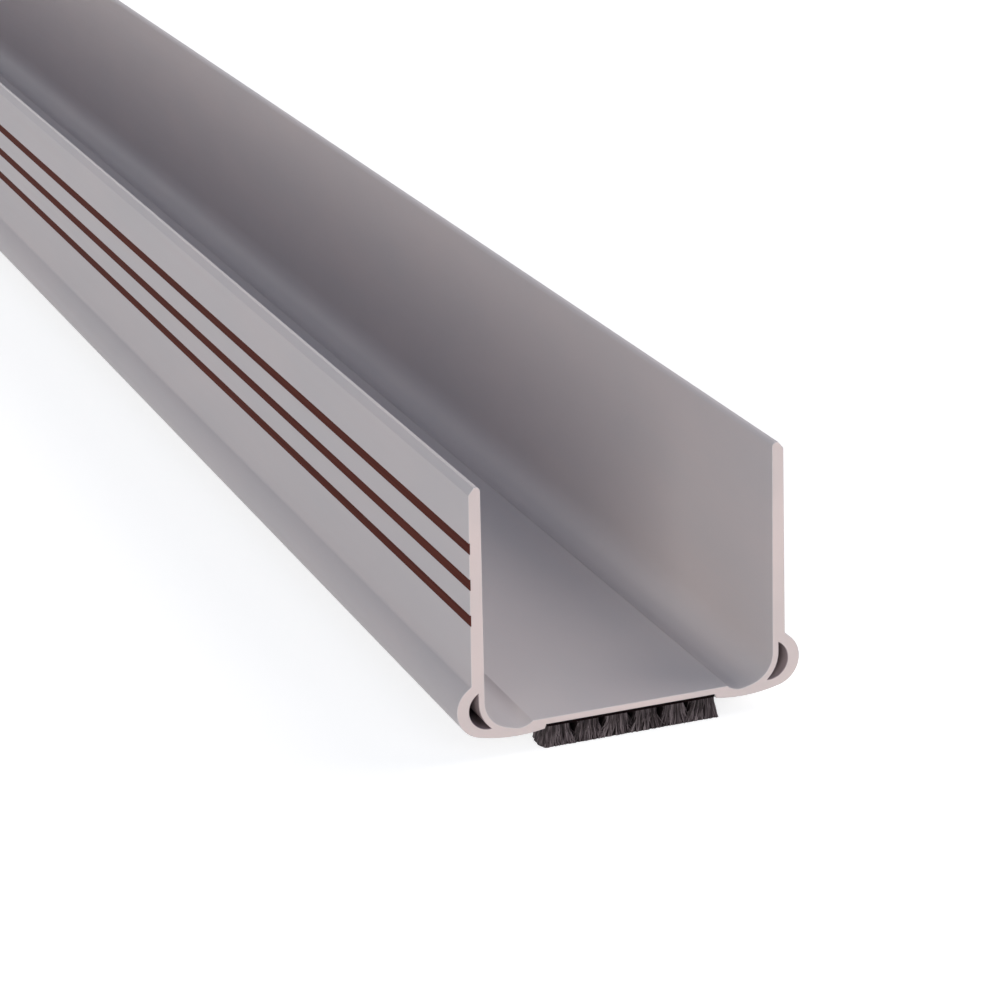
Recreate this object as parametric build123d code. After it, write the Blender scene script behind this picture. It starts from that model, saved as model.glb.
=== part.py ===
from build123d import *
import math
import os

# Under-door draught stopper: a U-shaped plastic channel that grips the foot of a door
# leaf, with a strip of bristle pile stuck into the shallow recess of its underside.
# Millimetres. X runs across the door leaf, Y along the door and Z up.
# The origin is at the middle of the pile's underside, where the pile meets the floor.

# Length: the channel, its stripes and its pile are sawn off together
length = 1000.0

# Hollow that takes the door leaf
mouth_width = 39.9
floor_width = 40.2
flange_height = 32.5

# Flanges, thinner at the tip than at the foot
foot_wall = 1.8
tip_wall = 1.6
tip_chamfer_width = 0.75
tip_chamfer_height = 0.9
tip_round = 0.6

# Corner arc and trough on each side of the raised web
corner_radius = 4.0
corner_drop = 0.45
trough_width = 6.45
trough_slope = 15.5
trough_run = 1.05

# Web over the pile, and the recess in its underside
web_wall = 0.85
recess_width = 23.6
recess_flare = 0.2
lip_drop = 0.57

# Hollow bulb along each lower corner
bulb_radius = 3.8
bulb_rise = 2.6
bulb_turn_in = 14.4
bulb_root_round = 0.5
chamber_radius = 2.7
chamber_inset = 0.55
skin_wall = 0.85

# Colour stripes pressed flush into the outer face of one flange
stripe_names = ["stripe_lower", "stripe_middle", "stripe_upper"]
stripe_width = 1.45
stripe_depth = 0.12
stripe_pitch = 4.8
lowest_stripe_rise = 14.95

# Bristle strip: adhesive, backing and six rows of tufts
adhesive_thickness = 0.1
backing_thickness = 0.25
backing_side_gap = 0.1
pile_height = 3.0
pile_top_inset = 0.35
pile_flare = 0.85
pile_edge_round = 0.5
tuft_rows = 6
tuft_pitch = 4.0
tuft_gap_width = 0.8
tuft_gap_depth = 1.7

# Heights above the floor
backing_bottom = pile_height
backing_top = backing_bottom + backing_thickness
recess_top = backing_top + adhesive_thickness
web_top = recess_top + web_wall
tip_top = web_top + flange_height
shoulder = tip_top - tip_chamfer_height
bulb_height = web_top + bulb_rise
corner_height = web_top - corner_drop + corner_radius

# Half widths from the middle plane
floor_half = floor_width / 2
mouth_half = mouth_width / 2
recess_half = recess_width / 2
corner_middle = floor_half - corner_radius
web_edge = floor_half - trough_width
foot_outside = floor_half + foot_wall
tip_outside = mouth_half + tip_wall


def outer_face_at(height):
    """Distance of the leaning outer flange face from the middle plane at a height."""
    share = (height - bulb_height) / (shoulder - bulb_height)
    return foot_outside + share * (tip_outside - foot_outside)


def flange_face():
    """One flange, chamfered outside and rounded inside at its tip."""
    tip_inside = (mouth_half, tip_top)
    outline = Polyline(
        (floor_half, bulb_height),
        (foot_outside, bulb_height),
        (tip_outside, shoulder),
        (tip_outside - tip_chamfer_width, tip_top),
        tip_inside,
        close=True,
    )
    face = make_face(outline)
    corner = face.vertices().sort_by_distance((*tip_inside, 0))[0]
    return fillet(corner, tip_round)


def underside_face():
    """Floor of the channel from the middle plane out to the bulb, before the hollow is cut."""
    turn = math.radians(bulb_turn_in)
    lip = (recess_half + recess_flare, recess_top - lip_drop)
    bulb_join = (
        floor_half + bulb_radius * math.sin(turn),
        bulb_height - bulb_radius * math.cos(turn),
    )
    ceiling_and_lip = Polyline((0, bulb_height), (0, recess_top), (recess_half, recess_top), lip)
    belly = TangentArc(bulb_join, lip, tangent=(-math.cos(turn), -math.sin(turn)))
    back = Polyline(bulb_join, (floor_half, bulb_height), (0, bulb_height))
    return make_face([*ceiling_and_lip.edges(), belly, *back.edges()])


def hollow_face():
    """Half of the hollow for the door leaf, with its corner arc and trough."""
    slope = math.radians(trough_slope)
    corner_arc = CenterArc((corner_middle, corner_height), corner_radius, 0, trough_slope - 90)
    run_end = corner_arc @ 1 - Vector(math.cos(slope), math.sin(slope)) * trough_run
    run = Line(corner_arc @ 1, run_end)
    trough = TangentArc(run_end, (web_edge, web_top), tangent=run % 1)
    rest = Polyline(
        (web_edge, web_top),
        (0, web_top),
        (0, tip_top),
        (mouth_half, tip_top),
        corner_arc @ 0,
    )
    return make_face([corner_arc, run, trough, *rest.edges()])


def chamber_face():
    """Crescent chamber between the bulb wall and the thin skin behind the corner arc."""
    bore = Pos(floor_half - chamber_inset, bulb_height) * Circle(chamber_radius)
    skin_turn = Pos(corner_middle, corner_height) * Circle(corner_radius + skin_wall)
    skin_width = corner_radius + skin_wall
    skin_straight = Pos(corner_middle + skin_width / 2, corner_height + chamber_radius) * Rectangle(
        skin_width, 2 * chamber_radius
    )
    return bore - skin_turn - skin_straight


def channel_half_face():
    """Right half of the channel section."""
    bulb = Pos(floor_half, bulb_height) * Circle(bulb_radius)
    shell = flange_face() + bulb + underside_face() - hollow_face()
    bulb_top = bulb_height + bulb_radius
    root = shell.vertices().sort_by_distance((outer_face_at(bulb_top), bulb_top, 0))[0]
    return fillet(root, bulb_root_round) - chamber_face()


def extruded(section):
    """Section drawn on the X and Z axes, drawn out evenly to both sides of the origin."""
    return extrude(Plane.XZ * section, amount=length / 2, both=True)


def stripe_faces():
    """Colour stripes as thin bars that lie flush in the outer face of the left flange."""
    lean = math.degrees(math.atan2(foot_outside - tip_outside, shoulder - bulb_height))
    faces = []
    for index in range(len(stripe_names)):
        height = web_top + lowest_stripe_rise + index * stripe_pitch
        bar = Rectangle(stripe_depth, stripe_width, align=(Align.MIN, Align.CENTER))
        faces.append(Pos(-outer_face_at(height), height) * Rot(0, 0, -lean) * bar)
    return faces


def channel():
    """The whole extruded channel with the beds for its stripes."""
    half = channel_half_face()
    section = half + mirror(half, about=Plane.YZ)
    for bed in stripe_faces():
        section -= bed
    return extruded(section)


def backing_bar(bottom, thickness):
    """Flat bar that fits the recess with a little play at each side."""
    width = recess_width - 2 * backing_side_gap
    return extruded(Pos(0, bottom + thickness / 2) * Rectangle(width, thickness))


def tuft_gap(middle):
    """Gap that parts two tufts at the backing and closes towards the floor."""
    return [
        (middle - tuft_gap_width / 2, pile_height),
        (middle, pile_height - tuft_gap_depth),
        (middle + tuft_gap_width / 2, pile_height),
    ]


def row_seams():
    """Distances from the middle plane at which two neighbouring rows of tufts meet."""
    return [(index - tuft_rows / 2) * tuft_pitch for index in range(1, tuft_rows)]


def pile_section():
    """Section of the pile: rows of tufts that splay outwards, trimmed flat at the floor."""
    top_half = recess_half - pile_top_inset
    bottom_half = top_half + pile_flare
    outline = Polyline(
        (-top_half, pile_height),
        (top_half, pile_height),
        (bottom_half, 0),
        (-bottom_half, 0),
        close=True,
    )
    section = make_face(outline)
    section = fillet(section.vertices().group_by(Axis.Y)[0], pile_edge_round)
    for seam in row_seams():
        section -= make_face(Polyline(*tuft_gap(seam), close=True))
    return section


def tuft_comb():
    """Side view of a row that is parted into single tufts, as wide as the whole pile."""
    tufts = round(length / tuft_pitch)
    outline = [(-length / 2, 0), (-length / 2, pile_height)]
    for index in range(1, tufts):
        outline += tuft_gap((index / tufts - 0.5) * length)
    outline += [(length / 2, pile_height), (length / 2, 0)]
    side_view = make_face(Polyline(*outline, close=True))
    return extrude(Plane.YZ * side_view, amount=recess_width, both=True)


def pile():
    """Bristle pile: rows of tufts side by side, the two outer rows parted into tufts as well."""
    section = pile_section()
    edges = [-recess_width, *row_seams(), recess_width]
    rows = []
    for left, right in zip(edges, edges[1:]):
        window = Pos(left, 0) * Rectangle(right - left, pile_height, align=Align.MIN)
        rows.append(extruded(section & window))
    comb = tuft_comb()
    return Compound([rows[0] & comb, *rows[1:-1], rows[-1] & comb])


def main():
    os.makedirs("parts", exist_ok=True)
    nodes = {
        "channel_profile": channel(),
        "brush_adhesive": backing_bar(backing_top, adhesive_thickness),
        "brush_backing": backing_bar(backing_bottom, backing_thickness),
        "brush_pile": pile(),
    }
    for name, bar in zip(stripe_names, stripe_faces()):
        nodes[name] = extruded(bar)
    for name, shape in nodes.items():
        export_step(shape, f"parts/{name}.step")


main()
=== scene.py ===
# %% [markdown]
# # An under-door draught stopper
# A U-shaped channel of pinkish grey plastic is pushed onto the foot of a door from below. A strip
# of dark bristles is stuck into a shallow recess in its underside and closes the gap to the floor.
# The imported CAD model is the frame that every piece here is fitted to. It is in metres: X runs
# across the door, Y along it and Z up, and the bristles stand on the floor at Z = 0.

# %% Load the frame
import math

import bmesh
import bpy
import numpy as np
from mathutils import Matrix, Vector


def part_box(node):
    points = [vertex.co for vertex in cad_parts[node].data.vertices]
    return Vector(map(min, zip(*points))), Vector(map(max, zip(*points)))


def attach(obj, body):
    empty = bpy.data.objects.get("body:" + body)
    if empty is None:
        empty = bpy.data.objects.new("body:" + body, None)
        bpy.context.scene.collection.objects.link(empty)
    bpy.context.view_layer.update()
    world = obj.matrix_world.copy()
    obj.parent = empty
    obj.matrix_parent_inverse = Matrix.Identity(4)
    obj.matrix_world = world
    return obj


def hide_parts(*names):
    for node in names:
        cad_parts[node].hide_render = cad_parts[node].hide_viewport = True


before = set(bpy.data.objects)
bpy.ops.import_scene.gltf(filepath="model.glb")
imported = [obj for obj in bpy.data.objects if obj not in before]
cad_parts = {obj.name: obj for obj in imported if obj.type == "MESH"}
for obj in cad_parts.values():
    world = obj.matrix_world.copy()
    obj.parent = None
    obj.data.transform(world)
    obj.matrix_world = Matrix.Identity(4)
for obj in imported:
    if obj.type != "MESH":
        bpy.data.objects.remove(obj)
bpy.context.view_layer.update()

MM = 0.001
print("nodes of the frame:", sorted(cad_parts))

# %% [markdown]
# ## Colours and shader nodes
# Blender's shaders work in linear light, and a matched colour is an sRGB value. One function turns
# a hex value to linear, so every colour below can be read as it looks. A second function adds one
# shader node with its settings and links, which keeps each material short.
# The Mix node keeps a set of sockets for each kind of value, so its sockets are given by number:
# 0 is the share, 2 and 3 are plain values, and 6 and 7 are colours.

# %% Helpers for colours and nodes
def linear(hex_colour):
    """Linear RGBA of an sRGB hex value such as "#CDBFBD"."""
    channels = [int(hex_colour[i : i + 2], 16) / 255 for i in (1, 3, 5)]
    return [c / 12.92 if c < 0.04045 else ((c + 0.055) / 1.055) ** 2.4 for c in channels] + [1.0]


def add_node(tree, kind, settings=None, inputs=None):
    """Adds a node, sets its properties, and links or fills the inputs that are given."""
    node = tree.nodes.new("ShaderNode" + kind)
    for name, value in (settings or {}).items():
        setattr(node, name, value)
    for name, value in (inputs or {}).items():
        if isinstance(value, bpy.types.NodeSocket):
            tree.links.new(value, node.inputs[name])
        else:
            node.inputs[name].default_value = value
    return node


def colour_ramp(tree, factor, stops):
    """Adds a ramp that turns a 0 to 1 factor into the colours of the stops."""
    ramp = add_node(tree, "ValToRGB", inputs={"Fac": factor})
    elements = ramp.color_ramp.elements
    while len(elements) < len(stops):
        elements.new(1.0)
    for element, (place, hex_colour) in zip(elements, stops):
        element.position = place
        element.color = linear(hex_colour)
    return ramp.outputs["Color"]


def new_material(name, **shader_values):
    """A material with one Principled shader, whose plain values are set on its own sockets."""
    material = bpy.data.materials.new(name)
    material.use_nodes = True
    tree = material.node_tree
    shader = tree.nodes["Principled BSDF"]
    for socket, value in shader_values.items():
        shader.inputs[socket.replace("_", " ")].default_value = value
    place = add_node(tree, "TexCoord")
    return material, tree, shader, place.outputs["Object"]


def stretched(tree, place, spacing_mm):
    """Coordinates in which a texture of scale 1 repeats at these spacings along X, Y and Z."""
    scale = [1 / (spacing * MM) for spacing in spacing_mm]
    return add_node(tree, "Mapping", inputs={"Vector": place, "Scale": scale}).outputs["Vector"]


# %% [markdown]
# ## Plastic of the channel
# The channel is rigid PVC pushed hot through a steel die. The die leaves very fine lines that run
# along the whole length, and the surface cools to a satin skin. The two ends are sawn, so they
# are a little rougher and carry faint straight saw marks. They are also lighter and pinker, which
# is partly the sawn plastic and partly painted light. The lines are noise that is stretched more
# than a hundred times along Y. Real ones lie about a tenth of a millimetre apart and are drawn
# six times as wide here, so that they show. A broad, soft mottle stands for uneven flow of the
# melt. The sawn ends are found by the direction of the surface, which is simpler than a second
# material and works for both ends. A wave texture draws about three waves in a unit, so the
# spacing of the saw marks is multiplied by that.

# %% Die lines that all the extruded plastics share
bump_strength = 0.5
noise_low, noise_high = 0.3, 0.7


def die_lines(tree, place, spacing, depth):
    """Lines along the extrusion: their pattern, and the bump that they give the surface."""
    pattern = add_node(
        tree,
        "TexNoise",
        inputs={"Vector": stretched(tree, place, spacing), "Scale": 1.0, "Detail": 3.0},
    ).outputs["Fac"]
    bump = add_node(
        tree,
        "Bump",
        inputs={"Height": pattern, "Strength": bump_strength, "Distance": depth * MM},
    ).outputs["Normal"]
    return pattern, bump


# %% Extruded rigid PVC, satin from the die and sawn at its ends
skin_tones = [(0.3, "#C4BFC0"), (0.7, "#CAC2C2")]
# The sawn tones are lighter and pinker, partly the cut plastic and partly painted light.
sawn_tones_with_painted_light = [(0.3, "#CBBFBD"), (0.7, "#D3C4C1")]
sawn_facing = (0.85, 0.95)
mottle_spacing = (9.0, 26.0, 9.0)
line_share = 0.35
die_line_spacing = (0.6, 80.0, 0.6)
die_line_depth = 0.003

pvc, tree, shader, place = new_material("Extruded_rigid_PVC", IOR=1.53, Specular_IOR_Level=0.2)
lines, line_bump = die_lines(tree, place, die_line_spacing, die_line_depth)
mottle = add_node(
    tree,
    "TexNoise",
    inputs={"Vector": stretched(tree, place, mottle_spacing), "Scale": 1.0, "Detail": 2.0},
).outputs["Fac"]
flow = add_node(
    tree,
    "Mix",
    settings={"data_type": "FLOAT"},
    inputs={0: line_share, 2: mottle, 3: lines},
).outputs[0]
facing = add_node(
    tree,
    "SeparateXYZ",
    inputs={"Vector": add_node(tree, "TexCoord").outputs["Normal"]},
).outputs["Y"]
along = add_node(tree, "Math", {"operation": "ABSOLUTE"}, {0: facing}).outputs["Value"]
sawn = add_node(
    tree,
    "MapRange",
    inputs={"Value": along, "From Min": sawn_facing[0], "From Max": sawn_facing[1]},
).outputs["Result"]
# The sawn ends take the lighter tones, which are partly painted light.
tone = add_node(
    tree,
    "Mix",
    settings={"data_type": "RGBA"},
    inputs={
        0: sawn,
        6: colour_ramp(tree, flow, skin_tones),
        7: colour_ramp(tree, mottle, sawn_tones_with_painted_light),
    },
).outputs[2]
tree.links.new(tone, shader.inputs["Base Color"])

# %% Roughness and saw marks of the same plastic
skin_roughness = (0.43, 0.53)
sawn_roughness = 0.62
saw_mark_spacing = 0.55
saw_mark_depth = 0.006
slanted_waves_in_a_unit = 3

gloss = add_node(
    tree,
    "MapRange",
    inputs={
        "Value": lines,
        "From Min": noise_low,
        "From Max": noise_high,
        "To Min": skin_roughness[0],
        "To Max": skin_roughness[1],
    },
).outputs["Result"]
roughness = add_node(
    tree,
    "Mix",
    settings={"data_type": "FLOAT"},
    inputs={0: sawn, 2: gloss, 3: sawn_roughness},
).outputs[0]
tree.links.new(roughness, shader.inputs["Roughness"])
saw_scale = (saw_mark_spacing * slanted_waves_in_a_unit,) * 3
saw_marks = add_node(
    tree,
    "TexWave",
    settings={"bands_direction": "DIAGONAL"},
    inputs={
        "Vector": stretched(tree, place, saw_scale),
        "Scale": 1.0,
        "Distortion": 1.5,
        "Detail": 2.0,
    },
).outputs["Fac"]
saw_height = add_node(tree, "Math", {"operation": "MULTIPLY"}, {0: saw_marks, 1: sawn})
saw_bump = add_node(
    tree,
    "Bump",
    inputs={
        "Height": saw_height.outputs["Value"],
        "Normal": line_bump,
        "Strength": bump_strength,
        "Distance": saw_mark_depth * MM,
    },
).outputs["Normal"]
tree.links.new(saw_bump, shader.inputs["Normal"])
print("made", pvc.name, "with", len(tree.nodes), "nodes")

# %% [markdown]
# ## Inside of the two chambers
# No die plate polishes the plastic inside a hollow section: it cools in still air and stays dull.
# It is the same PVC, so it gets the same mottle and deeper die lines and less gloss. Its darker,
# greyer tone is painted shade, since little light reaches into the chambers. It is a second
# material, given to the faces of the chambers below.

# %% Unpolished rigid PVC, darkened with painted shade
# The darker, greyer tones are painted shade inside the chambers.
chamber_shade_tones = [(0.3, "#998C90"), (0.7, "#A09093")]
chamber_line_depth = 0.006

chamber_pvc_painted_shade, tree, shader, place = new_material(
    "Unpolished_PVC_painted_shade", IOR=1.53, Roughness=0.65, Specular_IOR_Level=0.1
)
mottle = add_node(
    tree,
    "TexNoise",
    inputs={"Vector": stretched(tree, place, mottle_spacing), "Scale": 1.0, "Detail": 2.0},
).outputs["Fac"]
tree.links.new(colour_ramp(tree, mottle, chamber_shade_tones), shader.inputs["Base Color"])
lines, line_bump = die_lines(tree, place, die_line_spacing, chamber_line_depth)
tree.links.new(line_bump, shader.inputs["Normal"])
print("made", chamber_pvc_painted_shade.name)

# %% [markdown]
# ## Section of the channel
# Extruding a drawn section is how the real channel is made, so the mesh is made the same way.
# The frame already holds this piece, but its curves were cut into long flat strips, which show
# at this distance. Here the same section is drawn again with arcs of small steps. Its overall
# sizes are read from the frame, and the walls and radii are the named values below, in mm.

# %% Sizes of the section
channel_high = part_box("channel_profile")[1]
half_length = channel_high.y / MM
tip_top = channel_high.z / MM
bulb_outside = channel_high.x / MM
backing_side_gap = 0.1
recess_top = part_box("brush_adhesive")[1].z / MM
recess_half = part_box("brush_backing")[1].x / MM + backing_side_gap

web_wall = 0.85
bulb_radius = 3.8
bulb_rise = 2.6
bulb_turn_in = 14.4
bulb_root_round = 0.5
lean_in = 0.15
floor_half = bulb_outside - bulb_radius
mouth_half = floor_half - lean_in
foot_wall = 1.8
tip_wall = 1.6
tip_chamfer = (0.75, 0.9)
tip_round = 0.6
corner_radius = 4.0
corner_drop = 0.45
trough_width = 6.45
trough_slope = 15.5
trough_run = 1.05
lip_flare = 0.2
lip_drop = 0.57
chamber_radius = 2.7
chamber_inset = 0.55
skin_wall = 0.85
stripe_nodes = ["stripe_lower", "stripe_middle", "stripe_upper"]
stripe_width = 1.45
stripe_depth = 0.12

web_top = recess_top + web_wall
bulb_height = web_top + bulb_rise
corner_centre = (floor_half - corner_radius, web_top - corner_drop + corner_radius)
shoulder = (mouth_half + tip_wall, tip_top - tip_chamfer[1])
foot_outside = floor_half + foot_wall
face_lean = (foot_outside - shoulder[0]) / (shoulder[1] - bulb_height)
print("web top", round(web_top, 2), "bulb height", round(bulb_height, 2), "shoulder", shoulder)


# %% Points along the arcs of the section
arc_step = 4.0


def arc(centre, radius, start, end):
    """Points on an arc from one angle to another, in degrees."""
    steps = max(2, math.ceil(abs(end - start) / arc_step))
    angles = [math.radians(start + (end - start) * i / steps) for i in range(steps + 1)]
    return [(centre[0] + radius * math.cos(a), centre[1] + radius * math.sin(a)) for a in angles]


def tangent_arc(start, direction, end):
    """Points on the arc that leaves start in a direction, in degrees, and reaches end."""
    across, up = end[0] - start[0], end[1] - start[1]
    heading = math.radians(direction)
    ahead = across * math.cos(heading) + up * math.sin(heading)
    aside = up * math.cos(heading) - across * math.sin(heading)
    radius = (ahead**2 + aside**2) / (2 * aside)
    turn = 2 * math.degrees(math.atan2(aside, ahead))
    centre = (start[0] - radius * math.sin(heading), start[1] + radius * math.cos(heading))
    first = direction - 90
    return arc(centre, radius, first, first + turn)


def outer_face_at(height):
    """Distance of the leaning outer face from the middle plane at a height."""
    return foot_outside - face_lean * (height - bulb_height)


def crossing_below(centre_a, radius_a, centre_b, radius_b):
    """Lower one of the two points where two circles cross."""
    across, up = centre_b[0] - centre_a[0], centre_b[1] - centre_a[1]
    apart = math.hypot(across, up)
    along_line = (apart**2 + radius_a**2 - radius_b**2) / (2 * apart)
    aside = math.sqrt(radius_a**2 - along_line**2)
    points = [
        (
            centre_a[0] + (along_line * across + sign * aside * up) / apart,
            centre_a[1] + (along_line * up - sign * aside * across) / apart,
        )
        for sign in (-1, 1)
    ]
    return min(points, key=lambda point: point[1])


# %% Outline of one half, with beds for the stripes on the left one
def half_outline(bed_heights):
    """Right half of the section, from the recess round the bulb and the flange to the web."""
    lip = (recess_half + lip_flare, recess_top - lip_drop)
    bulb_centre = (floor_half, bulb_height)
    join_angle = bulb_turn_in - 90
    bulb_join = arc(bulb_centre, bulb_radius, join_angle, join_angle + 1)[0]
    belly = tangent_arc(bulb_join, 180 + bulb_turn_in, lip)

    root_x = outer_face_at(bulb_height + bulb_radius) + bulb_root_round
    reach = bulb_radius + bulb_root_round
    root_z = bulb_height + math.sqrt(reach**2 - (root_x - floor_half) ** 2)
    root_angle = math.degrees(math.atan2(root_z - bulb_height, root_x - floor_half))

    points = [(recess_half, recess_top), *belly[::-1]]
    points += arc(bulb_centre, bulb_radius, join_angle, root_angle)[1:]
    points += arc((root_x, root_z), bulb_root_round, root_angle + 180, 180)[1:]
    for height in bed_heights:
        low, high = height - stripe_width / 2, height + stripe_width / 2
        face_low, face_high = outer_face_at(low), outer_face_at(high)
        points += [(face_low, low), (face_low - stripe_depth, low)]
        points += [(face_high - stripe_depth, high), (face_high, high)]
    points += [shoulder, (shoulder[0] - tip_chamfer[0], tip_top)]
    points += arc((mouth_half + tip_round, tip_top - tip_round), tip_round, 90, 180)

    corner = arc(corner_centre, corner_radius, 0, trough_slope - 90)
    slope = math.radians(trough_slope)
    run_end = (
        corner[-1][0] - trough_run * math.cos(slope),
        corner[-1][1] - trough_run * math.sin(slope),
    )
    trough = tangent_arc(run_end, 180 + trough_slope, (floor_half - trough_width, web_top))
    return points + corner + trough


def chamber_loop():
    """Right chamber between the bulb wall and the thin skin, walked clockwise."""
    bore_centre = (floor_half - chamber_inset, bulb_height)
    skin_radius = corner_radius + skin_wall
    skin_x = corner_centre[0] + skin_radius
    top_z = bulb_height + math.sqrt(chamber_radius**2 - (skin_x - bore_centre[0]) ** 2)
    bottom = crossing_below(bore_centre, chamber_radius, corner_centre, skin_radius)
    angles = [
        math.degrees(math.atan2(point[1] - centre[1], point[0] - centre[0]))
        for point, centre in [
            ((skin_x, top_z), bore_centre),
            (bottom, bore_centre),
            (bottom, corner_centre),
        ]
    ]
    wall = arc(bore_centre, chamber_radius, angles[0], angles[1])
    skin = arc(corner_centre, skin_radius, angles[2], 0)
    return wall + skin[1:]


def mirrored(points):
    """The same points on the other side of the middle plane, walked the other way."""
    return [(-x, z) for x, z in reversed(points)]


# %% The three loops of the section
stripe_boxes = [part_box(name) for name in stripe_nodes]
bed_heights = [(low.z + high.z) / 2 / MM for low, high in stripe_boxes]
outer_loop = half_outline([]) + mirrored(half_outline(bed_heights))
right_chamber = chamber_loop()
section_loops = [outer_loop, right_chamber, mirrored(right_chamber)]
print("points in the loops:", [len(loop) for loop in section_loops])

# %% [markdown]
# ## Mesh of the channel
# Four rings of points are joined along Y: the full section twice, and at each end a section that
# is a hair smaller. The saw leaves no perfect edge, and this narrow slope catches the light as a
# thin line round the end, which a sharp edge doesn't. Two triangulated caps close the ends.

# %% Helpers that move an outline, make a piece and close its ends
least_spread = 0.5


def drawn_in(loop, distance):
    """The loop moved into the material, which lies on the left of its walking direction."""
    moved = []
    for before, point, after in zip([loop[-1], *loop[:-1]], loop, [*loop[1:], loop[0]]):
        sides = []
        for start, end in ((before, point), (point, after)):
            run = math.dist(start, end)
            sides.append(((start[1] - end[1]) / run, (end[0] - start[0]) / run))
        (ax, az), (bx, bz) = sides
        reach = distance / max(1 + ax * bx + az * bz, least_spread)
        moved.append((point[0] + (ax + bx) * reach, point[1] + (az + bz) * reach))
    return moved


def new_piece(name, vertices, faces, material):
    """A mesh object that rides on the body, made of vertices in mm."""
    mesh = bpy.data.meshes.new(name)
    mesh.from_pydata([[c * MM for c in vertex] for vertex in vertices], [], faces)
    mesh.materials.append(material)
    piece = bpy.data.objects.new(name, mesh)
    bpy.context.collection.objects.link(piece)
    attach(piece, "root")
    return piece


def close_ends(piece):
    """Fills the open loops at the two ends with triangles and turns all faces outwards."""
    work = bmesh.new()
    work.from_mesh(piece.data)
    for end in (-1, 1):
        rim = [edge for edge in work.edges if edge.is_boundary and edge.verts[0].co.y * end > 0]
        bmesh.ops.triangle_fill(work, use_beauty=True, edges=rim)
    bmesh.ops.recalc_face_normals(work, faces=work.faces)
    work.to_mesh(piece.data)
    work.free()


# %% Extrude the section
edge_break = 0.06
smooth_up_to = math.radians(24)
rings = [
    (-half_length, edge_break),
    (-half_length + edge_break, 0),
    (half_length - edge_break, 0),
    (half_length, edge_break),
]
vertices, faces, in_chamber = [], [], []
for y, inset in rings:
    for loop in section_loops:
        vertices += [(x, y, z) for x, z in (drawn_in(loop, inset) if inset else loop)]
ring_size = sum(len(loop) for loop in section_loops)
for ring in range(len(rings) - 1):
    first = ring * ring_size
    for loop in section_loops:
        for i in range(len(loop)):
            a, b = first + i, first + (i + 1) % len(loop)
            faces.append((a, a + ring_size, b + ring_size, b))
            in_chamber.append(loop is not outer_loop)
        first += len(loop)

channel = new_piece("Channel_extrusion", vertices, faces, pvc)
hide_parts("channel_profile")
# The faces of the chambers get the PVC with painted shade.
channel.data.materials.append(chamber_pvc_painted_shade)
channel.data.polygons.foreach_set("material_index", [int(inside) for inside in in_chamber])
close_ends(channel)
channel.data.shade_smooth()
channel.data.set_sharp_from_angle(angle=smooth_up_to)
print("channel:", len(channel.data.vertices), "vertices,", len(channel.data.polygons), "faces")

# %% [markdown]
# ## Colour stripes
# The three stripes are the same PVC with a dark red-brown pigment, run into the channel's skin
# while both are hot, so they lie flush and share its satin skin and die lines. Their shape in
# the frame is right, so the three nodes stay and only get this finish.

# %% Co-extruded PVC in red-brown
stripe_tones = [(0.3, "#532822"), (0.7, "#63362E")]
stripe_roughness = (0.42, 0.54)
stripe_line_spacing = (0.3, 45.0, 0.3)

stripe_pvc, tree, shader, place = new_material(
    "Coextruded_red_brown_PVC", IOR=1.53, Specular_IOR_Level=0.004
)
lines, line_bump = die_lines(tree, place, stripe_line_spacing, die_line_depth)
tree.links.new(colour_ramp(tree, lines, stripe_tones), shader.inputs["Base Color"])
gloss = add_node(
    tree,
    "MapRange",
    inputs={
        "Value": lines,
        "From Min": noise_low,
        "From Max": noise_high,
        "To Min": stripe_roughness[0],
        "To Max": stripe_roughness[1],
    },
).outputs["Result"]
tree.links.new(gloss, shader.inputs["Roughness"])
tree.links.new(line_bump, shader.inputs["Normal"])


def finish_node(name, material):
    """Gives a node of the frame its material."""
    for material_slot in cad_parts[name].material_slots:
        material_slot.material = material


for name in stripe_nodes:
    finish_node(name, stripe_pvc)
print("finished", stripe_nodes, "with", stripe_pvc.name)

# %% [markdown]
# ## Backing and adhesive of the brush
# The bristles stand on a thin woven polypropylene strip, which a layer of black hot-melt glue
# holds in the recess. Only their cut edges show, as a near-black line. The weave is two crossed
# waves at the spacing of the threads, and the glue is smooth with a few soft lumps.

# %% Woven polypropylene
cloth_tones = [(0.0, "#060203"), (1.0, "#1B0F11")]
thread_spacing = 0.5
thread_height = 0.03
straight_waves_in_a_unit = math.pi

weave_cloth, tree, shader, place = new_material(
    "Woven_polypropylene", IOR=1.49, Roughness=0.7, Specular_IOR_Level=0.03
)
weave_scale = (thread_spacing * straight_waves_in_a_unit,) * 3
waves = [
    add_node(
        tree,
        "TexWave",
        settings={"bands_direction": direction},
        inputs={
            "Vector": stretched(tree, place, weave_scale),
            "Scale": 1.0,
            "Distortion": 0.4,
        },
    ).outputs["Fac"]
    for direction in ("X", "Y")
]
threads = add_node(tree, "Math", {"operation": "MULTIPLY"}, {0: waves[0], 1: waves[1]})
cloth_tone = colour_ramp(tree, threads.outputs["Value"], cloth_tones)
tree.links.new(cloth_tone, shader.inputs["Base Color"])
bump = add_node(
    tree,
    "Bump",
    inputs={"Height": threads.outputs["Value"], "Strength": 0.6, "Distance": thread_height * MM},
).outputs["Normal"]
tree.links.new(bump, shader.inputs["Normal"])
finish_node("brush_backing", weave_cloth)

# %% Black hot-melt glue
glue_tones = [(0.3, "#050303"), (0.7, "#120C0B")]
glue_roughness = (0.35, 0.6)
lump_spacing = (1.6, 2.4, 1.6)
lump_height = 0.03

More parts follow.
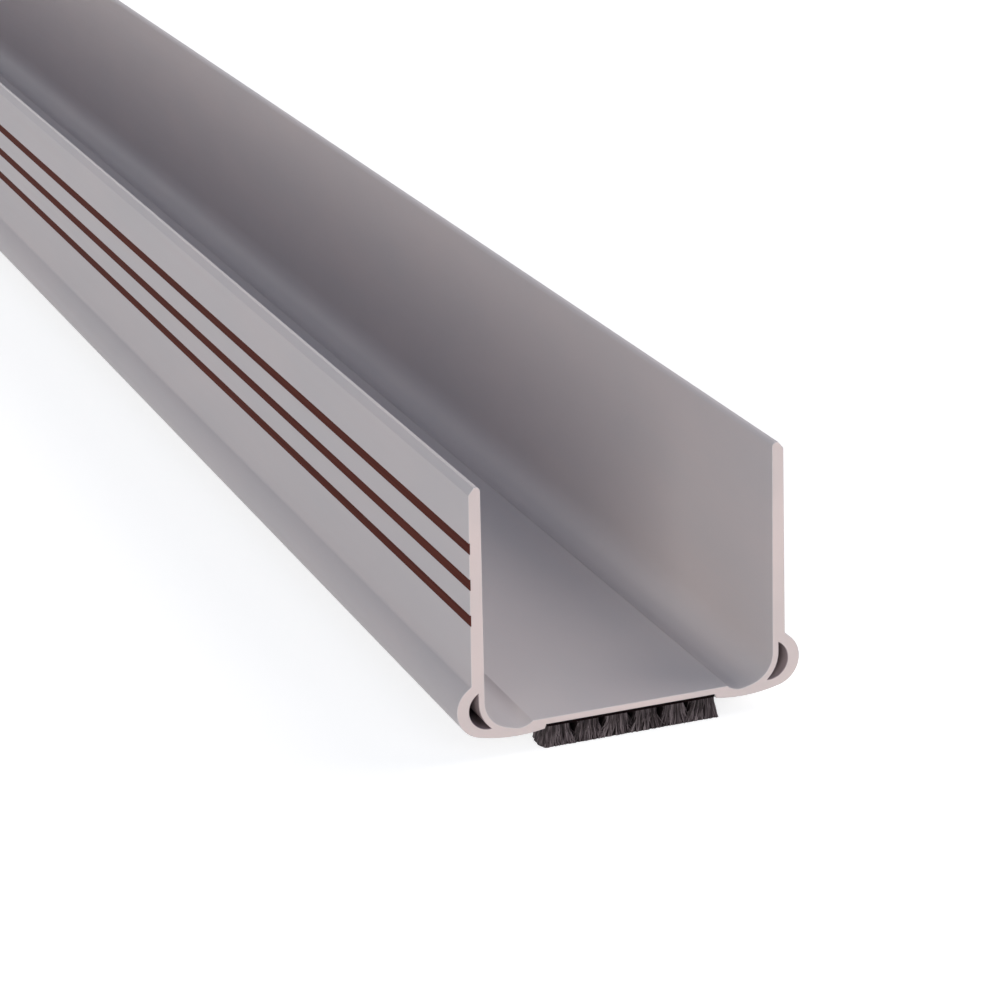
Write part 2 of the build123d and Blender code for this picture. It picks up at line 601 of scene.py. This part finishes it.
glue, tree, shader, place = new_material("Hot_melt_glue", IOR=1.48, Specular_IOR_Level=0.1)
lumps = add_node(
    tree,
    "TexNoise",
    inputs={"Vector": stretched(tree, place, lump_spacing), "Scale": 1.0, "Detail": 2.0},
).outputs["Fac"]
tree.links.new(colour_ramp(tree, lumps, glue_tones), shader.inputs["Base Color"])
gloss = add_node(
    tree,
    "MapRange",
    inputs={"Value": lumps, "To Min": glue_roughness[0], "To Max": glue_roughness[1]},
).outputs["Result"]
tree.links.new(gloss, shader.inputs["Roughness"])
bump = add_node(
    tree,
    "Bump",
    inputs={"Height": lumps, "Strength": bump_strength, "Distance": lump_height * MM},
).outputs["Normal"]
tree.links.new(bump, shader.inputs["Normal"])
finish_node("brush_adhesive", glue)
print("finished the backing and the glue")

# %% [markdown]
# ## Bristles
# The pile is crimped polypropylene filament, about a fifth of a millimetre thick, woven into the
# backing in tufts: six rows across, one tuft every 4 mm. A tuft is tight at the backing and
# splays towards the floor, so dark gaps open between the tufts at the top. Hair particles would
# not be exported as a mesh, so each bristle is a thin tapered prism along its own wavy line.
# Hundreds stand where they show best, at the two ends. The long sides have fewer, the underside
# has the cut tips, and a core of the same form fills what lies behind them, dark with painted
# shade.
#
# Every bristle gets its own shade, and a coarser noise darkens some of them together, as locks
# that lie deeper do. The lower half is lighter and the part near the backing darker, which is
# painted light and shade.

# %% Crimped polypropylene filament, charcoal
# Painted light and shade: the tip tones are lighter than the root tones.
root_tones = [(0.2, "#171314"), (0.5, "#383133"), (0.8, "#6C6366")]
tip_tones = [(0.2, "#2B2527"), (0.5, "#4C4447"), (0.8, "#807679")]
painted_light_below, painted_shade_above = 0.4, 2.2
lock_spacing = (0.5, 0.5, 4.0)
lock_share = 0.5

filament, tree, shader, place = new_material(
    "Crimped_filament", IOR=1.49, Roughness=0.5, Specular_IOR_Level=0.15
)
own_shade = add_node(tree, "NewGeometry").outputs["Random Per Island"]
streaks = add_node(
    tree,
    "TexNoise",
    inputs={"Vector": stretched(tree, place, lock_spacing), "Scale": 1.0, "Detail": 1.0},
).outputs["Fac"]
lock_shade = add_node(
    tree,
    "MapRange",
    inputs={"Value": streaks, "From Min": noise_low, "From Max": noise_high},
).outputs["Result"]
shade = add_node(
    tree,
    "Mix",
    settings={"data_type": "FLOAT"},
    inputs={0: lock_share, 2: own_shade, 3: lock_shade},
).outputs[0]
height = add_node(tree, "SeparateXYZ", inputs={"Vector": place}).outputs["Z"]
# Painted shade grows with height, from the lit tips up to the backing.
painted_shade_towards_root = add_node(
    tree,
    "MapRange",
    inputs={"Value": height, "From Min": painted_light_below * MM, "From Max": painted_shade_above * MM},
).outputs["Result"]
tone = add_node(
    tree,
    "Mix",
    settings={"data_type": "RGBA"},
    inputs={
        0: painted_shade_towards_root,
        6: colour_ramp(tree, shade, tip_tones),
        7: colour_ramp(tree, shade, root_tones),
    },
).outputs[2]
tree.links.new(tone, shader.inputs["Base Color"])

# %% [markdown]
# ## Packed filament
# Behind the bristles that show, thousands more stand so close that only dark streaks are seen.
# Their tone is the charcoal of the filament, darkened further by painted shade.
# One block with a streaked material stands for them. Its underside shows the cut ends instead,
# as small cells of random tone that are lighter in the middle and darker at the rim, which is
# painted shade between the ends. The real ends are 0.2 mm wide and the cells 0.3 mm, so that
# they show.

# %% Packed filament behind the visible bristles
# Filament charcoal, darkened further by painted shade.
core_tones_with_painted_shade = [(0.35, "#0A0808"), (0.65, "#241E20")]
core_streak_spacing = (0.22, 0.22, 2.5)
core_streak_depth = 0.15
cut_tip_tones = [(0.0, "#060505"), (0.5, "#1C181A"), (1.0, "#4A4244")]
cut_tip_spacing = 0.3
cell_light_within, cell_dark_beyond = 0.2, 0.6
floor_facing = (-0.5, -0.8)

packed, tree, shader, place = new_material(
    "Packed_filament_with_painted_shade", IOR=1.49, Roughness=0.7, Specular_IOR_Level=0.05
)
streaks = add_node(
    tree,
    "TexNoise",
    inputs={"Vector": stretched(tree, place, core_streak_spacing), "Scale": 1.0, "Detail": 3.0},
).outputs["Fac"]
cells = add_node(
    tree,
    "TexVoronoi",
    inputs={"Vector": stretched(tree, place, (cut_tip_spacing,) * 3), "Scale": 1.0},
)
cell_shade = add_node(
    tree, "SeparateXYZ", inputs={"Vector": cells.outputs["Color"]}
).outputs["X"]
# Painted shade: each cut end darkens from its middle towards its rim.
painted_cell_shading = add_node(
    tree,
    "MapRange",
    inputs={
        "Value": cells.outputs["Distance"],
        "From Min": cell_light_within,
        "From Max": cell_dark_beyond,
        "To Min": 1.0,
        "To Max": 0.0,
    },
).outputs["Result"]
cut_tip = add_node(tree, "Math", {"operation": "MULTIPLY"}, {0: cell_shade, 1: painted_cell_shading})
facing = add_node(
    tree,
    "SeparateXYZ",
    inputs={"Vector": add_node(tree, "TexCoord").outputs["Normal"]},
).outputs["Z"]
downward = add_node(
    tree,
    "MapRange",
    inputs={"Value": facing, "From Min": floor_facing[0], "From Max": floor_facing[1]},
).outputs["Result"]
tone = add_node(
    tree,
    "Mix",
    settings={"data_type": "RGBA"},
    inputs={
        0: downward,
        6: colour_ramp(tree, streaks, core_tones_with_painted_shade),
        7: colour_ramp(tree, cut_tip.outputs["Value"], cut_tip_tones),
    },
).outputs[2]
tree.links.new(tone, shader.inputs["Base Color"])
bump = add_node(
    tree,
    "Bump",
    inputs={"Height": streaks, "Strength": 0.8, "Distance": core_streak_depth * MM},
).outputs["Normal"]
tree.links.new(bump, shader.inputs["Normal"])
print("made", filament.name, "and", packed.name)

# %% [markdown]
# ## One mesh of many bristles
# A bristle runs from its root in the backing to its tip at the floor. It leaves the backing
# almost straight and bends outwards on its way down. Heat-crimped filament also swings from
# side to side, and a few neighbours swing together, as a lock. Arrays of numbers work out all
# bristles of a piece at once, which is far quicker than one object for each.

# %% Tufts of the pile
pile_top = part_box("brush_backing")[0].z / MM
row_count = 6
tuft_pitch = 4.0
tufts_along = round(2 * half_length / tuft_pitch)
row_centres = [(row - (row_count - 1) / 2) * tuft_pitch for row in range(row_count)]
row_seams = [(left + right) / 2 for left, right in zip(row_centres, row_centres[1:])]
tuft_root_half = 1.3
tuft_tip_half = 2.2
outer_root_half = 1.6
outer_tip_half = 2.0
scallop = 0.6
print(row_count, "rows of", tufts_along, "tufts")

# %% Helper that makes a piece of bristles
splay_power = 1.5
waves_in_a_bristle = (0.6, 1.3)
crimp_shares = (0.4, 1.0)
crimp_along = 0.5
crimp_lost_at_tip = 0.5
held_at_root = 3
girth_shares = (0.75, 1.25)
tip_taper = 0.25
cut_edge = math.radians(70)
random = np.random.default_rng(7)


def bristle_mesh(name, roots, tips, crimp, radius, segments, sides, lock_size=1):
    """One piece made of many bristles in locks that share a crimp, from roots and tips in mm."""
    count = len(roots)
    lock = np.arange(count) // lock_size
    locks = (lock[-1] + 1, 1, 1)
    steps = np.linspace(0, 1, segments + 1)[None, :, None]
    path = roots[:, None, :] + (tips - roots)[:, None, :] * steps
    splay = (tips - roots)[:, None, :2] * (steps**splay_power - steps)
    waves = random.uniform(*waves_in_a_bristle, locks)[lock]
    phase = random.uniform(0, 1, locks)[lock]
    heading = random.uniform(0, 2 * np.pi, locks)[lock]
    swing = np.sin(2 * np.pi * (waves * steps + phase)) * np.minimum(1, held_at_root * steps)
    swing *= 1 - crimp_lost_at_tip * steps**3
    size = crimp * random.uniform(*crimp_shares, locks)[lock]
    towards = np.concatenate([np.cos(heading), crimp_along * np.sin(heading)], axis=2)
    path[:, :, :2] += splay + size * swing * towards
    turn = 2 * np.pi * np.arange(sides) / sides
    girth = radius * random.uniform(*girth_shares, (count, 1, 1)) * (1 - tip_taper * steps)
    rings = np.repeat(path[:, :, None, :], sides, axis=2)
    rings[..., 0] += girth * np.cos(turn)
    rings[..., 1] += girth * np.sin(turn)

    start = (np.arange(count) * (segments + 1) * sides)[:, None, None]
    level = (np.arange(segments) * sides)[None, :, None]
    here, there = np.arange(sides), (np.arange(sides) + 1) % sides
    low, high = start + level + here, start + level + there
    walls = np.stack([low, low + sides, high + sides, high], axis=-1).reshape(-1, 4).tolist()
    top = (start[:, 0] + here).tolist()
    bottom = (start[:, 0] + segments * sides + here[::-1]).tolist()
    vertices = rings.reshape(-1, 3).tolist()
    piece = new_piece(name, vertices, walls + top + bottom, filament)
    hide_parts("brush_pile")
    piece.data.shade_smooth()
    piece.data.set_sharp_from_angle(angle=cut_edge)
    triangles = sum(len(face.vertices) - 2 for face in piece.data.polygons)
    print(name, count, "bristles,", triangles, "triangles")


# %% [markdown]
# ## Bristles of the two ends
# The saw cuts through the first tufts, so each end is a wall of bristles six tufts wide. They
# stand in layers, dense in front and thinner behind. No two tufts lean alike. The end tufts of
# the outer rows have no neighbour to hold them, so they splay further than the rest, and their
# outline is scalloped because a tuft is round.

# %% End layers: depth behind the sawn end, and bristles in a tuft
end_layers = [(0.11, 32), (0.22, 30), (0.36, 26), (0.6, 20), (0.95, 16), (1.4, 12)]
end_tip_half = 2.43
right_scallop = 0.2
tuft_tilt = 0.16
end_crimp = 0.2
end_radius = 0.1
depth_jitter = 0.04
root_jitter = 0.05
tip_jitter = 0.22
tip_lean = (-0.1, 0.02)
trim_height = 0.02


def tuft_reach(fan, fullest, hollow):
    """How far a tuft's tips reach from its middle, for places from -1 to 1 along its edge."""
    return fullest - hollow * fan**2


for name, end in (("Bristles_near_end", -1), ("Bristles_far_end", 1)):
    roots, tips = [], []
    for centre in row_centres:
        side = np.sign(centre)
        is_outer = abs(centre) == row_centres[-1]
        hollow = right_scallop if side > 0 else scallop
        root_tilt, tip_tilt = random.normal(0, tuft_tilt, 2)
        for depth, count in end_layers:
            across = np.linspace(-1, 1, count)
            outward = np.clip(across * side, 0, 1) * is_outer
            jitter = random.uniform(-depth_jitter, depth_jitter, count)
            y = end * (half_length - depth - jitter)
            reach = tuft_reach(2 * depth / tuft_pitch - 1, end_tip_half, hollow)
            root_half = np.where(outward > 0, outer_root_half, tuft_root_half)
            tip_half = np.where(outward > 0, reach, tuft_tip_half)
            jitter = random.normal(0, root_jitter, count) * (1 - outward)
            root_x = centre + across * root_half + jitter
            root_x += root_tilt * (1 - np.abs(across))
            tip_x = centre + across * tip_half
            tip_x += (tip_tilt + random.normal(0, tip_jitter, count)) * (1 - outward)
            tip_y = y + end * random.uniform(*tip_lean, count)
            tip_z = random.uniform(0, trim_height, count)
            roots.append(np.stack([root_x, y, np.full(count, pile_top)], axis=1))
            tips.append(np.stack([tip_x, tip_y, tip_z], axis=1))
    roots, tips = np.concatenate(roots), np.concatenate(tips)
    bristle_mesh(name, roots, tips, end_crimp, end_radius, 8, 4, lock_size=3)

# %% [markdown]
# ## Bristles of the two long sides
# Each side shows the outer row of tufts. Their roots stand on a short line along the backing and
# their tips fan out to meet the next tuft. The end tufts carry as many bristles as the sawn end
# does. They fan further inwards, and the tufts next to them stand a little further in, so that
# the corner of the brush stays round.

# %% Side tufts: bristles in each, and how they fan
side_bristles = np.full(tufts_along, 27)
side_bristles[[0, 1, -2, -1]] = 200, 60, 60, 200
side_crimp = 0.15
side_radius = 0.12
second_tip_half = 1.72
root_line_half = 1.4
inward_at_root = 0.7
inward_at_tip = 0.9
end_fan = 2.7
meeting_overlap = 0.05
reach_jitter = 0.08
fan_jitter = 0.12
side_trim_height = 0.03
side_end_gap = 0.15

for name, side in (("Bristles_left_side", -1), ("Bristles_right_side", 1)):
    tuft = np.repeat(np.arange(tufts_along), side_bristles)
    count = len(tuft)
    middle = -half_length + (tuft + 0.5) * tuft_pitch
    is_end = (tuft == 0) | (tuft == tufts_along - 1)
    is_second = (tuft == 1) | (tuft == tufts_along - 2)
    fullest = np.where(is_end, end_tip_half, outer_tip_half)
    fullest += random.normal(0, reach_jitter, tufts_along)[tuft] * ~is_end
    fullest[is_second] = second_tip_half
    fan = random.uniform(-1, 1, count)
    inward = random.uniform(0, 1, count) ** 2
    root_x = row_centres[-1] + outer_root_half - inward_at_root * inward
    hollow = np.where(is_end & (side > 0), right_scallop, scallop)
    tip_x = row_centres[-1] + tuft_reach(fan, fullest, hollow) - inward_at_tip * inward
    root_y = middle + fan * root_line_half
    fans_inward = is_end & (fan * middle < 0)
    fan_length = np.where(fans_inward, end_fan, tuft_pitch / 2 + meeting_overlap)
    tip_y = middle + fan * fan_length + random.normal(0, fan_jitter, count)
    tip_z = random.uniform(0, side_trim_height, count)
    limit = half_length - side_end_gap
    root_y, tip_y = np.clip(root_y, -limit, limit), np.clip(tip_y, -limit, limit)
    roots = np.stack([side * root_x, root_y, np.full(count, pile_top)], axis=1)
    tips = np.stack([side * tip_x, tip_y, tip_z], axis=1)
    bristle_mesh(name, roots, tips, side_crimp, side_radius, 4, 3)

# %% [markdown]
# ## Cut tips and core
# On the underside, short ends of filament stand out of the core, far fewer and thicker than the
# real ones, so that they break its flat face. The core keeps inside the bristles on every side,
# and its section has a notch under each gap between two rows.

# %% Cut tips on the underside
tip_count = 22000
tip_length = 0.7
tip_radius = 0.25
tip_slant = 0.15
rim_width = 0.9
tip_trim_height = 0.05

reach = row_centres[-1] + outer_tip_half - rim_width
x = random.uniform(-reach, reach, tip_count)
y = random.uniform(-half_length + rim_width, half_length - rim_width, tip_count)
tips = np.stack([x, y, random.uniform(0, tip_trim_height, tip_count)], axis=1)
slant = random.normal(0, tip_slant, (tip_count, 2))
roots = tips + np.concatenate([slant, np.full((tip_count, 1), tip_length)], axis=1)
bristle_mesh("Bristle_tips", roots, tips, 0.0, tip_radius, 1, 3)

# %% Core behind the bristles
core_inset = 0.35
core_end_gap = 0.16
core_floor_gap = 0.045
notch_half = 0.65
notch_depth = 2.0

top_half = row_centres[-1] + outer_root_half - core_inset
bottom_half = row_centres[-1] + outer_tip_half - scallop - core_inset
section = [(bottom_half, core_floor_gap), (top_half, pile_top)]
for seam in reversed(row_seams):
    section += [(seam + notch_half, pile_top), (seam, pile_top - notch_depth)]
    section += [(seam - notch_half, pile_top)]
section += [(-top_half, pile_top), (-bottom_half, core_floor_gap)]
core_ends = (-half_length + core_end_gap, half_length - core_end_gap)
vertices = [(x, y, z) for y in core_ends for x, z in section]
size = len(section)
faces = [(i, (i + 1) % size, size + (i + 1) % size, size + i) for i in range(size)]
core = new_piece("Pile_core", vertices, faces, packed)
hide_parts("brush_pile")
close_ends(core)
print("core:", len(core.data.polygons), "faces")

# %% [markdown]
# ## Stray bristles
# At a cut end a few bristles have slipped out of their tuft. They start at the edge of a gap and
# curl across it, which breaks up the row of dark triangles that neat tufts would leave.

# %% Stray bristles across the gaps at the two ends
strays_in_a_gap = 9
stray_crimp = 0.4
stray_radius = 0.07
stray_depths = (0.1, 0.3)
stray_starts = (0.6, 1.1)
stray_stops = (-0.5, 1.1)
stray_trim_height = 0.4

roots, tips = [], []
for end in (-1, 1):
    for seam in row_seams:
        side = random.choice([-1, 1], strays_in_a_gap)
        y = end * (half_length - random.uniform(*stray_depths, strays_in_a_gap))
        root_x = seam + side * random.uniform(*stray_starts, strays_in_a_gap)
        tip_x = seam - side * random.uniform(*stray_stops, strays_in_a_gap)
        tip_z = random.uniform(0, stray_trim_height, strays_in_a_gap)
        roots.append(np.stack([root_x, y, np.full(strays_in_a_gap, pile_top)], axis=1))
        tips.append(np.stack([tip_x, y, tip_z], axis=1))
roots, tips = np.concatenate(roots), np.concatenate(tips)
bristle_mesh("Bristles_across_gaps", roots, tips, stray_crimp, stray_radius, 10, 4)

# %% [markdown]
# ## Floor, light and camera
# The part stands on a white studio floor. Rays that show it directly, in a reflection or through
# glass, see paint that a little emission lifts to white, and the soft shadow stays. All other
# light meets plain white paint. The main lamp stands low at the front left and lights the
# striped flange and the sawn end. A weak one in front lifts the end, and one high on the right
# reaches into the hollow. A dim bluish surrounding fills the rest, and to the same direct rays
# it is white.

# %% Rays that show a surface directly
def seen_directly(tree):
    """1 for a ray from the camera, from a reflection or through glass, and 0 for the rest."""
    ray = add_node(tree, "LightPath").outputs
    seen = ray["Is Camera Ray"]
    for kind in ("Is Glossy Ray", "Is Transmission Ray"):
        either = add_node(tree, "Math", {"operation": "MAXIMUM"}, {0: seen, 1: ray[kind]})
        seen = either.outputs["Value"]
    return seen


# %% Studio floor
studio_half_size = 6.0
floor_paint = linear("#E6E6E6")
lifted_paint = linear("#AFAFAF")
lift = 0.80

paint = bpy.data.materials.new("Studio_floor_paint")
paint.use_nodes = True
tree = paint.node_tree
tree.nodes.remove(tree.nodes["Principled BSDF"])
plain = add_node(tree, "BsdfDiffuse", inputs={"Color": floor_paint}).outputs["BSDF"]
lifted = add_node(
    tree,
    "AddShader",
    inputs={
        0: add_node(tree, "BsdfDiffuse", inputs={"Color": lifted_paint}).outputs["BSDF"],
        1: add_node(tree, "Emission", inputs={"Strength": lift}).outputs["Emission"],
    },
).outputs["Shader"]
shown = add_node(
    tree, "MixShader", inputs={0: seen_directly(tree), 1: plain, 2: lifted}
).outputs["Shader"]
tree.links.new(shown, tree.nodes["Material Output"].inputs["Surface"])

signs = [(-1, -1), (1, -1), (1, 1), (-1, 1)]
corners = [(x * studio_half_size, y * studio_half_size, 0) for x, y in signs]
mesh = bpy.data.meshes.new("Studio_floor")
mesh.from_pydata(corners, [], [(0, 1, 2, 3)])
mesh.materials.append(paint)
floor = bpy.data.objects.new("Studio_floor", mesh)
bpy.context.collection.objects.link(floor)

# %% Surrounding light
ambient_colour = linear("#C6DDFF")
ambient_strength = 0.27
white = linear("#FFFFFF")

world = bpy.data.worlds.new("Studio")
bpy.context.scene.world = world
world.use_nodes = True
tree = world.node_tree
dim_light = add_node(
    tree, "Background", inputs={"Color": ambient_colour, "Strength": ambient_strength}
).outputs["Background"]
white_light = add_node(
    tree, "Background", inputs={"Color": white, "Strength": 1.0}
).outputs["Background"]
surrounding = add_node(
    tree, "MixShader", inputs={0: seen_directly(tree), 1: dim_light, 2: white_light}
).outputs["Shader"]
tree.links.new(surrounding, tree.nodes["World Output"].inputs["Surface"])


# %% Lamps
def add_soft_sun(name, towards, strength, colour, softness):
    """A lamp with parallel light that comes from a direction, as soft as a large panel."""
    lamp = bpy.data.lights.new(name, "SUN")
    lamp.energy = strength * math.pi
    lamp.color = linear(colour)[:3]
    lamp.angle = math.radians(softness)
    holder = bpy.data.objects.new(name, lamp)
    bpy.context.collection.objects.link(holder)
    holder.rotation_euler = Vector(towards).to_track_quat("Z", "Y").to_euler()


add_soft_sun("Left_lamp", (-0.6, -0.8, 0.02), 0.92, "#FFF7EC", 40)
add_soft_sun("Front_lamp", (0.12, -0.93, 0.35), 0.25, "#FFFFFF", 40)
add_soft_sun("Back_lamp", (0.66, 0.1, 0.74), 0.48, "#FFF6F0", 50)
print("lit by", len(bpy.data.lights), "lamps")

# %% Camera
azimuth = 20.69
elevation = 19.63
roll = -1.49
camera_place = (-158.8, -874.7, 177.4)

camera = bpy.data.cameras.new("Camera")
camera.lens = 123.2
camera.sensor_width = 36.0
camera.clip_start = 0.01
camera.clip_end = 50.0
viewpoint = bpy.data.objects.new("Camera", camera)
bpy.context.collection.objects.link(viewpoint)
turn = (
    Matrix.Rotation(math.radians(-azimuth), 4, "Z")
    @ Matrix.Rotation(math.radians(90 - elevation), 4, "X")
    @ Matrix.Rotation(math.radians(roll), 4, "Z")
)
viewpoint.matrix_world = Matrix.Translation([c * MM for c in camera_place]) @ turn
bpy.context.scene.camera = viewpoint
bpy.context.scene.view_settings.view_transform = "Standard"
print("camera looks along", [round(c, 3) for c in -turn.col[2]][:3])
